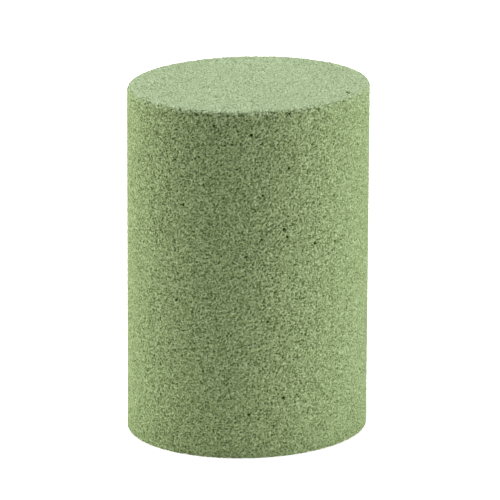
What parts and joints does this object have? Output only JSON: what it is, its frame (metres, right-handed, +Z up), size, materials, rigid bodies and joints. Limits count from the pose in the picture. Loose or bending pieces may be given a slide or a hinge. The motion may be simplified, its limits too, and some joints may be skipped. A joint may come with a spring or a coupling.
{
  "type": "floral foam cylinder",
  "caption": "Upright cylinder of sage-green open-cell floral foam with flat ends, which soaks up water and holds cut stems pushed into it.",
  "frame": {"origin": "centre of the flat base that the cylinder stands on", "axes": "+Z up along the cylinder's axis, from the base to the top; X and Y are alike, because the wall is round"},
  "size_m": [0.08, 0.08, 0.117],
  "materials": {
    "foam": "dry open-cell foam, matt sage green, sawn all over so that its cells lie open"
  },
  "bodies": {
    "root": {"foam_plug": "foam"}
  },
  "joints": []
}
